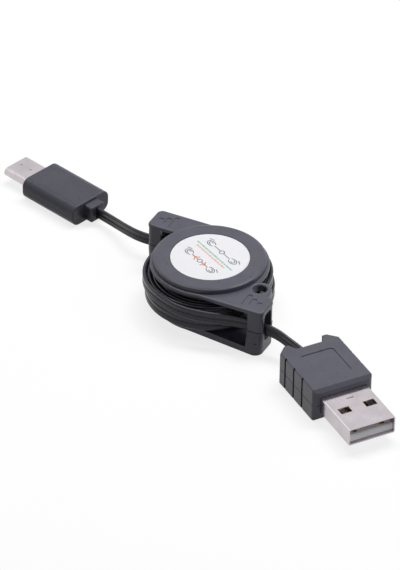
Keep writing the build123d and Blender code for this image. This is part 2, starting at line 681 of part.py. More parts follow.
def make_a_insert():
    half_width = A_SHELL_WIDTH / 2 - A_SHELL_WALL - SNUG
    high = A_SHELL_HEIGHT / 2 - A_SHELL_WALL - SNUG
    front = A_SHELL_OUT - A_INSERT_SETBACK
    back = -A_SHELL_IN + SNUG
    insert = bar(back, front, -half_width, half_width, -high, a_tongue_top())
    insert = chamfer(insert.edges().filter_by(Axis.Y).sort_by(Axis.X)[-2:], A_SHELL_WALL)
    insert += bar(back, back + A_BLOCK_LENGTH, -half_width, half_width, -high, high)
    for contact in a_contact_bars(SNUG):
        insert -= contact
    return insert


def a_contact_bars(clear):
    z1 = a_tongue_top() + SNUG
    wide = A_CONTACT_WIDTH / 2 + clear
    bars = []
    for y, tip in zip(A_CONTACT_AT, A_CONTACT_TIPS):
        back = -A_SHELL_IN - A_CONTACT_TAIL - clear
        front = A_SHELL_OUT - tip + clear
        bars.append(bar(back, front, y - wide, y + wide, z1 - A_CONTACT_T - clear, z1 + clear))
    return bars


def wire_ends(start_x, ends, r):
    """The ribbon's four cores, spread out to where they are soldered."""
    wires = []
    for z, end in zip(CORE_AT, ends):
        begin = Vector(start_x, 0, z)
        way = Vector(*end) - begin
        wire = Cylinder(r, way.length, align=(Align.CENTER, Align.CENTER, Align.MIN))
        wires.append(Plane(origin=begin, z_dir=way) * wire)
    return Compound(wires)


def make_a_wires():
    z = a_tongue_top() - A_CONTACT_T / 2
    x = -A_SHELL_IN - A_CONTACT_TAIL - A_WIRE_R
    return wire_ends(A_RIBBON_END + A_WIRE_R, [(x, y, z) for y in A_CONTACT_AT], A_WIRE_R)


# Small plug, in its own frame: x forward from the case's front face, z from its mid-height

def oval(width, height):
    return SlotOverall(width, height)


def make_c_case():
    face = RectangleRounded(C_CASE_WIDTH, C_CASE_HEIGHT, C_CASE_CORNER)
    case = tube(face, -C_CASE_LENGTH, 0)
    case = fillet(case.faces().sort_by(Axis.X)[-1].outer_wire().edges(), C_NOSE_ROUND)
    case = fillet(case.faces().sort_by(Axis.X)[0].outer_wire().edges(), C_REAR_ROUND)
    room_width = C_CASE_WIDTH - 2 * C_CASE_SIDE
    room_height = C_CASE_HEIGHT - 2 * C_CASE_WALL
    room = RectangleRounded(room_width, room_height, C_CASE_CORNER - C_CASE_WALL)
    case -= tube(room, -C_CASE_LENGTH + C_CASE_REAR, -C_CASE_FRONT)
    case -= tube(oval(C_SHELL_WIDTH + 2 * SNUG, C_SHELL_HEIGHT + 2 * SNUG), -2 * C_CASE_FRONT, C_CASE_FRONT)
    neck = Rectangle(C_NECK_WIDTH + 2 * SNUG, c_neck_height() + 2 * SNUG)
    case -= tube(neck, -C_CASE_LENGTH - C_CASE_REAR, -C_CASE_LENGTH + 2 * C_CASE_REAR)
    clamp = C_SHELL_HEIGHT / 2 + SNUG
    for z in (-1, 1):
        width = C_SHELL_WIDTH / 4
        case += bar(-C_SHELL_IN + SNUG, -C_CASE_FRONT, -width, width, z * clamp, z * room_height / 2)
    for y in (-1, 1):
        stop = -C_SHELL_IN - SNUG
        beside = C_BOARD_WIDTH / 2 + SNUG
        case += bar(stop - C_CASE_WALL, stop, y * beside, y * room_width / 2, -C_BOARD_T, C_BOARD_T)
    return case


def c_neck_height():
    return RIBBON_WIDTH + 2 * (SNUG + C_NECK_WALL)


def make_c_boot():
    rear = -C_CASE_LENGTH
    width = C_BOOT_WIDTH / 2
    high = C_BOOT_HEIGHT / 2
    block = bar(rear - C_BOOT_LENGTH, rear, -width, width, -high, high)
    block = fillet(block.edges().filter_by(Axis.X), C_BOOT_ROUND)
    block = fillet(block.faces().sort_by(Axis.X)[0].outer_wire().edges(), C_BOOT_EDGE)
    collar_x = rear + C_CASE_REAR + SNUG
    neck = tube(Rectangle(C_NECK_WIDTH, c_neck_height()), rear, collar_x)
    collar = tube(Rectangle(C_COLLAR_WIDTH, c_neck_height()), collar_x, collar_x + C_COLLAR)
    slit = Rectangle(RIBBON_T + 2 * SNUG, RIBBON_WIDTH + 2 * SNUG)
    return block + neck + collar - tube(slit, -FAR, FAR)


def make_c_shell():
    skin = oval(C_SHELL_WIDTH, C_SHELL_HEIGHT)
    skin -= oval(C_SHELL_WIDTH - 2 * C_SHELL_WALL, C_SHELL_HEIGHT - 2 * C_SHELL_WALL)
    shell = tube(skin, -C_SHELL_IN, C_SHELL_OUT)
    top = C_SHELL_HEIGHT / 2
    for back in C_DIMPLE_BACK:
        shell -= rod(C_SHELL_OUT - back, 0, C_DIMPLE_R, top - C_DIMPLE_DEPTH, FAR)
    return shell


def c_rows(clear):
    """The upper and lower rows of contacts, or the room for them when there is a clearance."""
    z0 = C_BOARD_T / 2 + SNUG / 2 - clear
    z1 = C_BOARD_T / 2 + SNUG / 2 + C_CONTACT_T + clear
    half = C_CONTACT_WIDTH / 2 + clear
    back = -C_SHELL_IN - C_CONTACT_TAIL - clear
    front = C_SHELL_OUT - C_CONTACT_SETBACK + clear
    bars = []
    for row in (-1, 1):
        for k in range(C_CONTACTS):
            y = (k - (C_CONTACTS - 1) / 2) * C_CONTACT_PITCH
            bars.append(bar(back, front, y - half, y + half, row * z0, row * z1))
    return bars


def c_latch(side, clear):
    y = C_MOUTH_WIDTH / 2
    front = C_SHELL_OUT - C_LATCH_SETBACK
    half = C_LATCH_WIDTH / 2 + clear
    back = front - C_LATCH_LENGTH - clear
    arm = bar(back, front + clear, side * (y - clear), side * (y + C_LATCH_T + clear), -half, half)
    bead = bar(front - 3 * C_LATCH_T, front - C_LATCH_T, side * (y - C_LATCH_T), side * y, -half, half)
    return arm + bead


def make_c_insulator():
    inner = 2 * (C_SHELL_WALL + SNUG / 2)
    front = C_SHELL_OUT - C_INSULATOR_SETBACK
    body = tube(oval(C_SHELL_WIDTH - inner, C_SHELL_HEIGHT - inner), -C_SHELL_IN, front)
    body -= tube(Rectangle(C_MOUTH_WIDTH, C_MOUTH_HEIGHT), front - C_MOUTH_DEPTH, FAR)
    for contact in c_rows(SNUG / 4):
        body -= contact
    for side in (-1, 1):
        body -= c_latch(side, SNUG / 2)
    return body


def c_board_back():
    return -C_SHELL_IN - C_CASE_WALL - SNUG - C_BOARD_LENGTH


def make_c_board():
    return Pos(c_board_back() + C_BOARD_LENGTH / 2, 0, 0) * Box(C_BOARD_LENGTH, C_BOARD_WIDTH, C_BOARD_T)


def make_c_resistor():
    length, width, height = C_CHIP
    return Pos(c_board_back() + C_BOARD_LENGTH / 2, 0, (C_BOARD_T + height) / 2) * Box(length, width, height)


def make_c_wires():
    x = c_board_back() - C_WIRE_R
    pitch = C_BOARD_WIDTH / CORES
    ends = [(x, (k - (CORES - 1) / 2) * pitch, 0) for k in range(CORES)]
    return wire_ends(C_RIBBON_END + C_WIRE_R, ends, C_WIRE_R)


def at_nose(x, y, yaw, out, z):
    """From a plug's own frame to the reel's."""
    a = math.radians(yaw)
    return Pos(x - out * math.cos(a), y - out * math.sin(a), z) * Rot(0, 0, yaw)


def make_front_tail():
    backs = (A_SHELL_OUT + A_CASE_LENGTH + TAIL_LEAD, A_SHELL_OUT - A_RIBBON_END)
    entry = [behind(A_NOSE_X, A_NOSE_Y, A_YAW, back) for back in backs]
    return make_tail(UPPER_MID, SLOT_MID + FRONT_EXIT_OUT, FRONT_EXIT_Z, A_CASE_HEIGHT / 2, entry)


def make_rear_tail():
    """Made as if it left by the front ear, then turned half round."""
    backs = (C_SHELL_OUT + C_CASE_LENGTH + C_BOOT_LENGTH + TAIL_LEAD, C_SHELL_OUT - C_RIBBON_END)
    entry = [behind(-C_NOSE_X, -C_NOSE_Y, C_YAW - 180, back) for back in backs]
    tail = make_tail(LOWER_MID, SLOT_MID + REAR_EXIT_OUT, REAR_EXIT_Z, C_CASE_HEIGHT / 2, entry)
    return Rot(0, 0, 180) * tail


to_a = at_nose(A_NOSE_X, A_NOSE_Y, A_YAW, A_SHELL_OUT, A_CASE_HEIGHT / 2)
to_c = at_nose(C_NOSE_X, C_NOSE_Y, C_YAW, C_SHELL_OUT, C_CASE_HEIGHT / 2)
upper_half, lower_half = make_a_halves()
pieces = {
    "upper_cover": make_upper_cover(),
    "lower_cover": make_lower_cover(),
    "label": make_label(),
    "axle_screw": make_screw(),
    "spool": make_spool(),
    "clock_spring": make_spring(),
    "ratchet_ball": make_ball(),
    "upper_winding": make_winding(UPPER_MID),
    "lower_winding": make_winding(LOWER_MID),
    "front_tail": make_front_tail(),
    "rear_tail": make_rear_tail(),
    "plug_a_upper_case": to_a * upper_half,
    "plug_a_lower_case": to_a * lower_half,
    "plug_a_shell": to_a * make_a_shell(),
    "plug_a_insert": to_a * make_a_insert(),
    "plug_a_contacts": to_a * Compound(a_contact_bars(0)),
    "plug_a_wires": to_a * make_a_wires(),
    "plug_c_case": to_c * make_c_case(),
    "plug_c_boot": to_c * make_c_boot(),
    "plug_c_shell": to_c * make_c_shell(),
    "plug_c_insulator": to_c * make_c_insulator(),
    "plug_c_contacts": to_c * Compound(c_rows(0)),
    "plug_c_latches": to_c * Compound([c_latch(-1, 0), c_latch(1, 0)]),
    "plug_c_board": to_c * make_c_board(),
    "plug_c_resistor": to_c * make_c_resistor(),
    "plug_c_wires": to_c * make_c_wires(),
}
os.makedirs("parts", exist_ok=True)
for name, piece in pieces.items():
    export_step(piece, f"parts/{name}.step")
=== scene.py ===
"""Looks of the retractable charging cable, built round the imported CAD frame. Metres, +Z up."""
import math

import bmesh
import bpy
from mathutils import Matrix, Vector


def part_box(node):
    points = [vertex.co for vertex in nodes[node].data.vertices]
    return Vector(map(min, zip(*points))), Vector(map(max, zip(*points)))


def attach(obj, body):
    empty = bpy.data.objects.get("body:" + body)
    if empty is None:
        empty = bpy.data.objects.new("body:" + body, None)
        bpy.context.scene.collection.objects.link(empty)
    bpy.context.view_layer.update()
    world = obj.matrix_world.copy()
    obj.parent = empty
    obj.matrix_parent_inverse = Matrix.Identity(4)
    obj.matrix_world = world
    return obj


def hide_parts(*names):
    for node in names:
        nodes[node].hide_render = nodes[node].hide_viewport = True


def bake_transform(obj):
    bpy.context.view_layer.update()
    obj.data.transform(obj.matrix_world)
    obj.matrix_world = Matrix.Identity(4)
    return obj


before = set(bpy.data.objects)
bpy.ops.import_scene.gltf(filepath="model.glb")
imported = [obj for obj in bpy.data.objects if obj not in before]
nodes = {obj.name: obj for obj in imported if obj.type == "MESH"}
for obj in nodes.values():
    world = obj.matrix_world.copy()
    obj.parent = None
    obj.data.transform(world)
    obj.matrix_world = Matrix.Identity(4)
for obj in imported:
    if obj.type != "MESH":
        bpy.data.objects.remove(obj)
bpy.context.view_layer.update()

MM = 0.001

# Camera, fitted to the photograph's two plugs, the label and the ears
CAMERA_AZIMUTH = 26.3
CAMERA_ELEVATION = 35.49
CAMERA_ROLL = 0.83
CAMERA_DISTANCE = 1.0456
CAMERA_AIM = (0.0, 0.0, 0.007)
CAMERA_ASIDE = (-0.0023, -0.0018)   # right and up, in the picture's plane
CAMERA_LENS = 279.75                # millimetres, as is the picture's height behind it
PICTURE_HEIGHT = 36

# Floor and light
FLOOR_REACH = 4.0
FLOOR_GAP = 0.02 * MM
FLOOR_BOUNCE = 0.38                 # how much light the floor sends back up
FLOOR_SHADED = 0.25                 # share of the floor's white that a shadow can take away
FLOOR_GLOW = 0.785
FILL = 0.03
LAMPS = [                           # name, place, width, depth and watts
    ("key", (-0.14, 0.3, 0.95), 1.0, 0.2, 7.1),
    ("rear", (0.05, 0.2, 0.4), 0.24, 0.24, 0.45),
    ("left", (-0.7, 0.05, 0.4), 0.4, 0.4, 0.4),
    ("right", (0.62, 0.3, 0.3), 0.55, 0.55, 1.0),
    ("front", (0.62, -0.45, 0.12), 0.3, 0.3, 0.6),
]

# Ribbon: two pairs of cores side by side, standing on its edge
RIBBON_WIDTH = 3.1 * MM
RIBBON_T = 0.9 * MM
PAIR_GROOVE = 0.27 * MM             # between the two pairs of cores
CORE_GROOVE = 0.07 * MM             # between the cores of a pair
GROOVE_HALF = 0.2 * MM
FACE_STEPS = 24
END_STEPS = 5
SHARP_EDGE = math.radians(50)       # a fold that is sharper than this isn't shaded smooth

# Coils: the turns of each level, counted back from where its tail leaves
TURN_PITCH = 1.05 * MM
TURNS = 4.3
STEPS_PER_TURN = 64
STAND_OFF = 0.25 * MM               # how far the last turn stands out from the CAD ring
BULGE = 0.25 * MM                   # how far the loose outer turns lean out on one side
BULGE_ANGLE = math.radians(200)
DIP = 0.55 * MM                     # how far the upper level's last stretch hangs down
DIP_TURNS = 0.4                     # length of that stretch
WAVER = 0.06 * MM                   # how far loose turns wander up and down
WAVES = 3                           # wanderings in a turn
WAVE_SHIFT = 5                      # radians by which they shift from turn to turn
SINK = 0.65 * MM                    # how far the upper level's inner turns lie below its outermost one
SINK_FROM = 0.55                    # turns back at which they start to go down
SINK_TURNS = 0.4                    # length of that slope
UPPER_END = math.radians(-114.5)
LOWER_END = math.radians(65.5)

# Routes of the two free ends, as control points in millimetres
FRONT_ROUTE = [
    (-6.5, -14.2, 7.95), (-2.4, -16.0, 7.95), (2.0, -16.5, 7.9), (7.2, -15.6, 7.7), (12.0, -13.4, 7.2),
    (16.5, -11.75, 6.4), (20.2, -11.2, 6.05), (23.8, -11.7, 5.85), (27.0, -12.6, 5.15), (30.4, -13.5, 4.5),
    (33.0, -15.0, 4.33), (35.0, -16.4, 4.33),
]
REAR_ROUTE = [
    (6.3, 14.2, 4.09), (2.4, 15.9, 4.09), (-2.0, 16.3, 4.1), (-7.2, 15.0, 4.2), (-12.0, 12.5, 4.6),
    (-16.5, 10.6, 5.0), (-20.2, 9.7, 5.1), (-24.0, 9.9, 5.0), (-28.0, 11.7, 4.3), (-32.0, 14.1, 3.35),
    (-36.0, 16.0, 2.85), (-39.4, 17.15, 2.8), (-43.5, 18.4, 2.8),
]
ROUTE_STEPS = 12                    # points on the line for each control point

# Print on the label, in millimetres along and across its slanting rows
PRINT_SLANT = math.radians(-29.5)
PRINT_T = 0.02 * MM
ROWS = (3.4, -2.9)                  # the two drawings of a reel being pulled
ROW_HALF = 3.2
LOOP = (1.25, 0.85)                 # half sizes of the pull loops
LOOP_GAP = 28                       # half of the opening in a loop, in degrees
INNER_LOOP = (0.55, 0.5)            # half sizes of the loop inside, as shares of the outer one's
INNER_GAP = 70
FLICK_ALONG = (1.5, 2.5)            # ends of the stroke beside a loop, in half loops from the row's end
FLICK_ACROSS = (1.3, 0.75)
REEL_MARK = 0.62
CHEVRON_ALONG = (1.15, 2.1)         # foot and tip of a chevron
CHEVRON_HALF = 0.85
DASHES = (0.95, 0.6, 1.25, 0.75, 0.45)
DASH_GAP = 0.2
GREEN_LINE = (-7.1, 7.4, 1.2)       # start, end and place across
SALMON_LINE = (-5.9, 5.5, 0.25)
DASH_WIDTH = 0.42
LINE_WIDTH = 0.19
INK_SHADE = 0.9                     # darkest part of an ink, as a share of its colour

# Directions in which the two plugs' shells were drawn
WIDE_PLUG_YAW = math.radians(-36.3)
SMALL_PLUG_YAW = math.radians(162.8)

# Materials
NOISE_RANGE = (0.3, 0.7)            # where most of a noise texture's values lie
GLOSS_SPREAD = 0.05
LINE_SPREAD = 0.03
FACE_MIDDLE = 0.25                  # middle of a ribbon's face, as a share of its outline
GROOVE_SHADE = (0.19, 0.235)        # where on the outline the groove's painted shade line starts and is full


def camera():
    """The photograph's viewpoint: a long lens from the front right, above."""
    azimuth = math.radians(CAMERA_AZIMUTH)
    elevation = math.radians(CAMERA_ELEVATION)
    roll = math.radians(CAMERA_ROLL)
    level = math.cos(elevation)
    back = Vector((math.sin(azimuth) * level, -math.cos(azimuth) * level, math.sin(elevation)))
    flat_right = Vector((math.cos(azimuth), math.sin(azimuth), 0))
    flat_up = back.cross(flat_right)
    right = flat_right * math.cos(roll) + flat_up * math.sin(roll)
    up = flat_up * math.cos(roll) - flat_right * math.sin(roll)
    eye = Vector(CAMERA_AIM) + back * CAMERA_DISTANCE + right * CAMERA_ASIDE[0] + up * CAMERA_ASIDE[1]
    data = bpy.data.cameras.new("camera")
    data.lens = CAMERA_LENS
    data.sensor_width = PICTURE_HEIGHT
    data.clip_start = 0.01
    data.clip_end = 20
    eye_object = bpy.data.objects.new("camera", data)
    eye_object.matrix_world = Matrix.Translation(eye) @ Matrix((right, up, back)).transposed().to_4x4()
    bpy.context.collection.objects.link(eye_object)
    bpy.context.scene.camera = eye_object


# Ribbon meshes

def ribbon_section():
    """Outline of two pairs of cores, as steps across the ribbon and along its width."""
    r = RIBBON_T / 2
    reach = RIBBON_WIDTH / 2 - r
    points = []
    for i in range(END_STEPS):
        angle = math.pi / 2 * i / END_STEPS
        points.append((r * math.sin(angle), -reach - r * math.cos(angle)))
    for i in range(FACE_STEPS + 1):
        along = reach * (2 * i / FACE_STEPS - 1)
        pair = math.exp(-(along / GROOVE_HALF) ** 2)
        core = math.exp(-((abs(along) - reach / 2) / GROOVE_HALF) ** 2)
        points.append((r - PAIR_GROOVE * pair - CORE_GROOVE * core, along))
    for i in range(END_STEPS):
        angle = math.pi / 2 * (i + 1) / END_STEPS
        points.append((r * math.cos(angle), reach + r * math.sin(angle)))
    return points[:-1] + [(-across, -along) for across, along in points[:-1]]


def side_of(line, i):
    """Level direction square to a line of points at one of them."""
    heading = line[min(i + 1, len(line) - 1)] - line[max(i - 1, 0)]
    return Vector((-heading.y, heading.x, 0)).normalized()


def ribbon_mesh(name, line):
    """A ribbon that stands on its edge along a line of points, with its length and outline as UV."""
    section = ribbon_section()
    count = len(section)
    mesh = bpy.data.meshes.new(name)
    build = bmesh.new()
    rings = []
    lengths = [0.0]
    for i, at in enumerate(line):
        side = side_of(line, i)
        ring = [at + side * across + Vector((0, 0, along)) for across, along in section]
        rings.append([build.verts.new(corner) for corner in ring])
        if i:
            lengths.append(lengths[-1] + (at - line[i - 1]).length)
    layer = build.loops.layers.uv.new("length_outline")
    for i in range(len(rings) - 1):
        for k in range(count):
            j = (k + 1) % count
            face = build.faces.new((rings[i][k], rings[i + 1][k], rings[i + 1][j], rings[i][j]))
            face.smooth = True
            corners = [(i, k), (i + 1, k), (i + 1, k + 1), (i, k + 1)]
            for loop, (along, around) in zip(face.loops, corners):
                loop[layer].uv = (lengths[along], around / count)
    build.faces.new(rings[0])
    build.faces.new(list(reversed(rings[-1])))
    bmesh.ops.recalc_face_normals(build, faces=build.faces)
    build.to_mesh(mesh)
    build.free()
    mesh.set_sharp_from_angle(angle=SHARP_EDGE)
    ribbon = bpy.data.objects.new(name, mesh)
    bpy.context.collection.objects.link(ribbon)
    return ribbon


def coil_line(node, end_angle, sink, dip):
    """The turns of one level: a loose spiral that ends where its tail leaves."""
    low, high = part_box(node)
    middle = (low[2] + high[2]) / 2
    outer = (high[0] - low[0]) / 2 - RIBBON_T / 2
    steps = int(TURNS * STEPS_PER_TURN)
    line = []
    for i in range(steps + 1):
        left = (steps - i) / STEPS_PER_TURN
        angle = end_angle - left * 2 * math.pi
        looseness = (1 - left / TURNS) ** 2
        lean = looseness * math.cos(angle - BULGE_ANGLE)
        waver = looseness * math.sin(WAVES * angle + WAVE_SHIFT * left) * WAVER
        r = outer + STAND_OFF - left * TURN_PITCH + BULGE * lean
        inner = min(max((left - SINK_FROM) / SINK_TURNS, 0), 1)
        hang = math.sin(math.pi * min(left / DIP_TURNS, 1))
        z = middle + waver - dip * hang - sink * inner * inner * (3 - 2 * inner)
        line.append(Vector((r * math.cos(angle), r * math.sin(angle), z)))
    return line


def route_line(name, route):
    """Points along the smooth line that a route's control points give."""
    curve = bpy.data.curves.new(name, "CURVE")
    curve.dimensions = "3D"
    spline = curve.splines.new("NURBS")
    spline.points.add(len(route) - 1)
    for point, at in zip(spline.points, route):
        point.co = (at[0] * MM, at[1] * MM, at[2] * MM, 1)
    spline.order_u = 3
    spline.use_endpoint_u = True
    spline.resolution_u = ROUTE_STEPS
    holder = bpy.data.objects.new(name, curve)
    bpy.context.collection.objects.link(holder)
    traced = bpy.data.meshes.new_from_object(holder.evaluated_get(bpy.context.evaluated_depsgraph_get()))
    line = [v.co.copy() for v in traced.vertices]
    bpy.data.objects.remove(holder)
    bpy.data.curves.remove(curve)
    bpy.data.meshes.remove(traced)
    return line


def wind_coil(node, vinyl, end_angle, sink=0, dip=0):
    """One level of the coil, on the spool, in place of its plain CAD ring."""
    coil = ribbon_mesh(node + "_ribbon", coil_line(node, end_angle, sink, dip))
    coil.data.materials.append(vinyl)
    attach(coil, "spool")
    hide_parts(node)


def lay_tail(node, vinyl, route):
    """One free end, which stretches between the ear that it leaves by and its plug."""
    line = route_line(node + "_route", route)
    tail = ribbon_mesh(node + "_ribbon", line)
    tail.data.materials.append(vinyl)
    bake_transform(tail)
    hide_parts(node)


# Print on the label

def arc(centre, half, start, end, steps=14):
    """Points on part of an oval, from one angle in degrees to another."""
    points = []
    for i in range(steps + 1):
        angle = math.radians(start + (end - start) * i / steps)
        points.append((centre[0] + half[0] * math.cos(angle), centre[1] + half[1] * math.sin(angle)))
    return points


def drawing(row):
    """A reel with a line to a pull loop on each side, and a short stroke beside each loop."""
    strokes = [arc((0, row), (REEL_MARK, REEL_MARK), 0, 360, 20)]
    inner_half = (LOOP[0] * INNER_LOOP[0], LOOP[1] * INNER_LOOP[1])
    for side in (-1, 1):
        strokes.append([(side * REEL_MARK, row), (side * ROW_HALF, row)])
        loop = (side * (ROW_HALF + LOOP[0]), row)
        turn = 0 if side < 0 else 180
        strokes.append(arc(loop, LOOP, turn + LOOP_GAP, turn + 360 - LOOP_GAP))
        strokes.append(arc(loop, inner_half, turn + INNER_GAP, turn + 360 - INNER_GAP))
        flick = [side * (ROW_HALF + along * LOOP[0]) for along in FLICK_ALONG]
        strokes.append([(along, row + across) for along, across in zip(flick, FLICK_ACROSS)])
    return strokes


def chevron(row, side):
    """An open arrowhead that points away from the reel."""
    foot = side * CHEVRON_ALONG[0]
    tip = side * CHEVRON_ALONG[1]
    return [(foot, row + CHEVRON_HALF), (tip, row), (foot, row - CHEVRON_HALF)]


def dashed(start, end, row):
    """A line of uneven dashes."""
    strokes = []
    at = start
    while at < end:
        length = DASHES[len(strokes) % len(DASHES)]
        strokes.append([(at, row), (min(at + length, end), row)])
        at += length + DASH_GAP
    return strokes


def print_ink(name, strokes, width, colour):
    """Flat strokes of ink on the label, each a thin closed strip along its points."""
    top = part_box("label")[1][2]
    build = bmesh.new()
    along = Vector((math.cos(PRINT_SLANT), math.sin(PRINT_SLANT), 0))
    across = Vector((-along.y, along.x, 0))
    lift = Vector((0, 0, PRINT_T))
    for stroke in strokes:
        path = [along * (u * MM) + across * (v * MM) + Vector((0, 0, top)) for u, v in stroke]
        rings = []
        for i, at in enumerate(path):
            side = side_of(path, i) * (width * MM / 2)
            corners = (at - side - lift, at + side - lift, at + side + lift, at - side + lift)
            rings.append([build.verts.new(corner) for corner in corners])
        for a, b in zip(rings, rings[1:]):
            for k in range(4):
                build.faces.new((a[k], b[k], b[(k + 1) % 4], a[(k + 1) % 4]))
        build.faces.new(rings[0])
        build.faces.new(list(reversed(rings[-1])))
    bmesh.ops.recalc_face_normals(build, faces=build.faces)
    mesh = bpy.data.meshes.new(name)
    build.to_mesh(mesh)
    build.free()
    piece = bpy.data.objects.new(name, mesh)
    bpy.context.collection.objects.link(piece)
    mesh.materials.append(paper_film(name, [INK_SHADE * part for part in colour], colour))
    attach(piece, "housing")


# Materials

def shader(name):
    """A new material, its node tree and its main shader."""
    material = bpy.data.materials.new(name)
    material.use_nodes = True
    tree = material.node_tree
    return material, tree, tree.nodes["Principled BSDF"]


def noise(tree, coordinate, per_metre, detail, stretch=(1, 1, 1)):
    """A noise texture over a coordinate, with so many patches in a metre, or more where it is stretched."""
    mapping = tree.nodes.new("ShaderNodeMapping")
    mapping.inputs["Scale"].default_value = stretch
    tree.links.new(coordinate, mapping.inputs["Vector"])
    texture = tree.nodes.new("ShaderNodeTexNoise")
    texture.inputs["Scale"].default_value = per_metre
    texture.inputs["Detail"].default_value = detail
    tree.links.new(mapping.outputs["Vector"], texture.inputs["Vector"])
    return texture.outputs["Fac"]


def spread(tree, value, low, high):
    """A noise value brought into a range."""
    node = tree.nodes.new("ShaderNodeMapRange")
    node.inputs["From Min"].default_value = NOISE_RANGE[0]
    node.inputs["From Max"].default_value = NOISE_RANGE[1]
    node.inputs["To Min"].default_value = low
    node.inputs["To Max"].default_value = high
    tree.links.new(value, node.inputs["Value"])
    return node.outputs["Result"]


def tint(tree, value, dark, light):
    """A colour that goes from dark to light with a value."""
    node = tree.nodes.new("ShaderNodeMix")
    node.data_type = "RGBA"
    node.inputs["A"].default_value = (*dark, 1)
    node.inputs["B"].default_value = (*light, 1)
    tree.links.new(value, node.inputs["Factor"])
    return node.outputs["Result"]


def relief(tree, value, height):
    """A bump of that height, in metres."""
    node = tree.nodes.new("ShaderNodeBump")
    node.inputs["Strength"].default_value = 1.0
    node.inputs["Distance"].default_value = height
    tree.links.new(value, node.inputs["Height"])
    return node.outputs["Normal"]


def object_space(tree):
    return tree.nodes.new("ShaderNodeTexCoord").outputs["Object"]


def moulded_plastic(name, dark, light, rough, shine=0.34):
    """Satin moulded plastic: a fine spark-eroded grain, faint cloudiness and uneven gloss."""
    material, tree, surface = shader(name)
    place = object_space(tree)
    cloud = noise(tree, place, per_metre=220, detail=4)
    tree.links.new(tint(tree, spread(tree, cloud, 0, 1), dark, light), surface.inputs["Base Color"])
    gloss = noise(tree, place, per_metre=900, detail=3)
    uneven = spread(tree, gloss, rough - GLOSS_SPREAD, rough + GLOSS_SPREAD)
    tree.links.new(uneven, surface.inputs["Roughness"])
    grain = noise(tree, place, per_metre=6500, detail=2)
    tree.links.new(relief(tree, grain, height=1e-6), surface.inputs["Normal"])
    surface.inputs["Specular IOR Level"].default_value = shine
    return material


def painted_groove_shade(tree, outline):
    """Mask of the painted groove shade: one in the groove along the middle of each of a ribbon's faces, and
    zero beside it.
    """
    around = tree.nodes.new("ShaderNodeSeparateXYZ")
    tree.links.new(outline, around.inputs["Vector"])
    face = tree.nodes.new("ShaderNodeMath")
    face.operation = "PINGPONG"
    face.inputs[1].default_value = FACE_MIDDLE
    tree.links.new(around.outputs["Y"], face.inputs[0])
    groove = tree.nodes.new("ShaderNodeMapRange")
    groove.inputs["From Min"].default_value = GROOVE_SHADE[0]
    groove.inputs["From Max"].default_value = GROOVE_SHADE[1]
    tree.links.new(face.outputs["Value"], groove.inputs["Value"])
    return groove.outputs["Result"]


def ribbon_plastic():
    """Soft vinyl of the ribbon: faint streaks along it, and painted shade, a dark line in the groove between
    its pairs of cores.
    """
    material, tree, surface = shader("ribbon_vinyl")
    outline = tree.nodes.new("ShaderNodeUVMap")
    outline.uv_map = "length_outline"
    streak = noise(tree, outline.outputs["UV"], per_metre=1, detail=3, stretch=(90, 6, 1))
    colour = tint(tree, spread(tree, streak, 0, 1), (0.028, 0.028, 0.04), (0.038, 0.038, 0.053))
    # Painted shade: a near-black colour mixed into the groove between the pairs of cores
    groove_shaded = tree.nodes.new("ShaderNodeMix")
    groove_shaded.data_type = "RGBA"
    groove_shaded.inputs["B"].default_value = (0.004, 0.004, 0.005, 1)
    tree.links.new(painted_groove_shade(tree, outline.outputs["UV"]), groove_shaded.inputs["Factor"])
    tree.links.new(colour, groove_shaded.inputs["A"])
    tree.links.new(groove_shaded.outputs["Result"], surface.inputs["Base Color"])
    scuff = noise(tree, outline.outputs["UV"], per_metre=1, detail=4, stretch=(700, 30, 1))
    tree.links.new(spread(tree, scuff, 0.2, 0.3), surface.inputs["Roughness"])
    tree.links.new(relief(tree, scuff, height=2e-6), surface.inputs["Normal"])
    surface.inputs["Specular IOR Level"].default_value = 0.3
    return material


def plated_metal(name, dark, light, rough, along=0.0):
    """Bright plated sheet with fine drawing lines along one direction."""
    material, tree, surface = shader(name)
    surface.inputs["Metallic"].default_value = 1.0
    place = object_space(tree)
    turn = tree.nodes.new("ShaderNodeVectorRotate")
    turn.rotation_type = "Z_AXIS"
    turn.inputs["Angle"].default_value = -along
    tree.links.new(place, turn.inputs["Vector"])
    lines = noise(tree, turn.outputs["Vector"], per_metre=1, detail=2, stretch=(400, 9000, 9000))
    cloud = noise(tree, place, per_metre=260, detail=3)
    tree.links.new(tint(tree, spread(tree, cloud, 0, 1), dark, light), surface.inputs["Base Color"])
    tree.links.new(spread(tree, lines, rough - LINE_SPREAD, rough + LINE_SPREAD), surface.inputs["Roughness"])
    tree.links.new(relief(tree, lines, height=2e-7), surface.inputs["Normal"])
    return material


def nickel(name, along):
    return plated_metal(name, (0.5, 0.46, 0.48), (0.59, 0.54, 0.57), 0.17, along)


def paper_film(name, dark, light):
    """Printed film: pale, smooth and a little uneven."""
    material, tree, surface = shader(name)
    fibre = noise(tree, object_space(tree), per_metre=2600, detail=4)
    tree.links.new(tint(tree, spread(tree, fibre, 0, 1), dark, light), surface.inputs["Base Color"])
    tree.links.new(spread(tree, fibre, 0.42, 0.55), surface.inputs["Roughness"])
    tree.links.new(relief(tree, fibre, height=1.5e-6), surface.inputs["Normal"])
    return material


def paint(material, *names):
    """CAD nodes take a material in place of the one that they were packed with."""
    for name in names:
        for place in nodes[name].material_slots:
            place.material = material


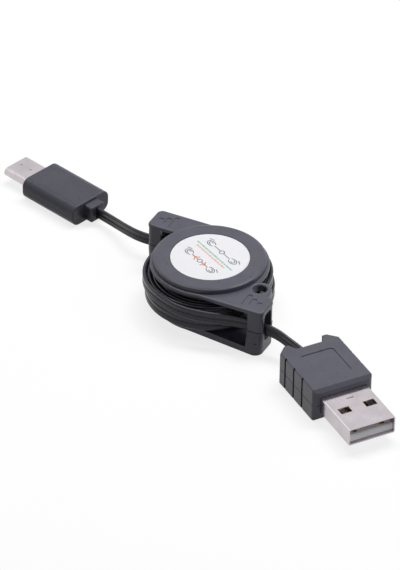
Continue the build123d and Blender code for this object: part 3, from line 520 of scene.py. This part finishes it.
def paint_plastics():
    case = moulded_plastic("case_plastic", (0.079, 0.078, 0.106), (0.093, 0.092, 0.122), 0.32)
    paint(case, "upper_cover", "lower_cover", "plug_a_upper_case", "plug_a_lower_case")
    small_case = moulded_plastic(
        "small_case_plastic", (0.066, 0.065, 0.087), (0.078, 0.077, 0.101), 0.3, shine=0.22,
    )
    paint(small_case, "plug_c_case", "plug_c_boot")
    spool = moulded_plastic("spool_plastic", (0.04, 0.04, 0.045), (0.048, 0.048, 0.054), 0.38)
    paint(spool, "spool")
    pale = moulded_plastic("pale_plastic", (0.9, 0.89, 0.92), (0.95, 0.94, 0.97), 0.4)
    paint(pale, "plug_a_insert")
    dark = moulded_plastic("dark_plastic", (0.012, 0.012, 0.014), (0.018, 0.018, 0.02), 0.45)
    paint(dark, "plug_c_insulator", "plug_c_resistor")
    board = moulded_plastic("board", (0.02, 0.1, 0.04), (0.03, 0.14, 0.06), 0.4)
    paint(board, "plug_c_board")
    jacket = moulded_plastic("wire_jacket", (0.22, 0.03, 0.03), (0.3, 0.05, 0.05), 0.5)
    paint(jacket, "plug_a_wires", "plug_c_wires")


def paint_metals():
    paint(nickel("nickel_wide", WIDE_PLUG_YAW), "plug_a_shell")
    paint(nickel("nickel_small", SMALL_PLUG_YAW), "plug_c_shell", "plug_c_latches")
    steel = plated_metal("spring_steel", (0.42, 0.42, 0.44), (0.52, 0.52, 0.54), 0.3)
    paint(steel, "axle_screw", "clock_spring", "ratchet_ball")
    gilt = plated_metal("gilt", (0.75, 0.52, 0.2), (0.86, 0.63, 0.28), 0.25)
    paint(gilt, "plug_a_contacts", "plug_c_contacts")


def print_label():
    """A generic design: two reels being pulled, two dashed lines between them, and chevrons on one reel."""
    paint(paper_film("label_film", (0.88, 0.88, 0.92), (0.93, 0.93, 0.96)), "label")
    print_ink("print_green", dashed(*GREEN_LINE), DASH_WIDTH, (0.3, 0.62, 0.48))
    print_ink("print_salmon", dashed(*SALMON_LINE), DASH_WIDTH, (0.9, 0.5, 0.4))
    print_ink("print_grey", drawing(ROWS[0]) + drawing(ROWS[1]), LINE_WIDTH, (0.05, 0.05, 0.07))
    print_ink("print_orange", [chevron(ROWS[1], -1), chevron(ROWS[1], 1)], DASH_WIDTH, (0.9, 0.36, 0.12))


# Floor and light

def seen_directly(tree):
    """One for rays from the camera, a mirror or glass, and zero for light on its way round the scene."""
    path = tree.nodes.new("ShaderNodeLightPath")
    total = path.outputs["Is Camera Ray"]
    for name in ("Is Glossy Ray", "Is Transmission Ray"):
        larger = tree.nodes.new("ShaderNodeMath")
        larger.operation = "MAXIMUM"
        tree.links.new(total, larger.inputs[0])
        tree.links.new(path.outputs[name], larger.inputs[1])
        total = larger.outputs["Value"]
    return total


def lay_floor():
    """A pale floor that shows white where it is lit, and keeps the object's shadow."""
    mesh = bpy.data.meshes.new("floor")
    corners = [(-1, -1), (1, -1), (1, 1), (-1, 1)]
    mesh.from_pydata([(x * FLOOR_REACH, y * FLOOR_REACH, -FLOOR_GAP) for x, y in corners], [], [(0, 1, 2, 3)])
    floor = bpy.data.objects.new("floor", mesh)
    bpy.context.collection.objects.link(floor)
    material, tree, bounce = shader("floor")
    bounce.inputs["Base Color"].default_value = (FLOOR_BOUNCE, FLOOR_BOUNCE, FLOOR_BOUNCE, 1)
    bounce.inputs["Roughness"].default_value = 1.0
    bounce.inputs["Specular IOR Level"].default_value = 0.0
    shadowed = tree.nodes.new("ShaderNodeBsdfDiffuse")
    shadowed.inputs["Color"].default_value = (FLOOR_SHADED, FLOOR_SHADED, FLOOR_SHADED, 1)
    glow = tree.nodes.new("ShaderNodeEmission")
    glow.inputs["Strength"].default_value = FLOOR_GLOW
    pale = tree.nodes.new("ShaderNodeAddShader")
    tree.links.new(shadowed.outputs["BSDF"], pale.inputs[0])
    tree.links.new(glow.outputs["Emission"], pale.inputs[1])
    choice = tree.nodes.new("ShaderNodeMixShader")
    tree.links.new(seen_directly(tree), choice.inputs["Fac"])
    tree.links.new(bounce.outputs["BSDF"], choice.inputs[1])
    tree.links.new(pale.outputs["Shader"], choice.inputs[2])
    tree.links.new(choice.outputs["Shader"], tree.nodes["Material Output"].inputs["Surface"])
    mesh.materials.append(material)


def surround():
    """An even grey light from all sides, which looks white itself."""
    world = bpy.data.worlds.new("surround")
    bpy.context.scene.world = world
    world.use_nodes = True
    tree = world.node_tree
    strength = tree.nodes.new("ShaderNodeMapRange")
    strength.inputs["To Min"].default_value = FILL
    strength.inputs["To Max"].default_value = 1.0
    tree.links.new(seen_directly(tree), strength.inputs["Value"])
    background = tree.nodes["Background"]
    background.inputs["Color"].default_value = (1, 1, 1, 1)
    tree.links.new(strength.outputs["Result"], background.inputs["Strength"])


def lamp(name, at, width, depth, power):
    """A soft box that faces the reel, with its width level."""
    data = bpy.data.lights.new(name, "AREA")
    data.shape = "RECTANGLE"
    data.size = width
    data.size_y = depth
    data.energy = power
    outward = Vector(at).normalized()
    level = Vector((0, 0, 1)).cross(outward).normalized()
    facing = Matrix((level, outward.cross(level), outward)).transposed().to_4x4()
    light = bpy.data.objects.new(name, data)
    light.matrix_world = Matrix.Translation(at) @ facing
    bpy.context.collection.objects.link(light)


camera()
lay_floor()
surround()
for row in LAMPS:
    lamp(*row)
bpy.context.scene.view_settings.view_transform = "Standard"

ribbon_vinyl = ribbon_plastic()
wind_coil("upper_winding", ribbon_vinyl, UPPER_END, SINK, DIP)
wind_coil("lower_winding", ribbon_vinyl, LOWER_END)
lay_tail("front_tail", ribbon_vinyl, FRONT_ROUTE)
lay_tail("rear_tail", ribbon_vinyl, REAR_ROUTE)
paint_plastics()
paint_metals()
print_label()
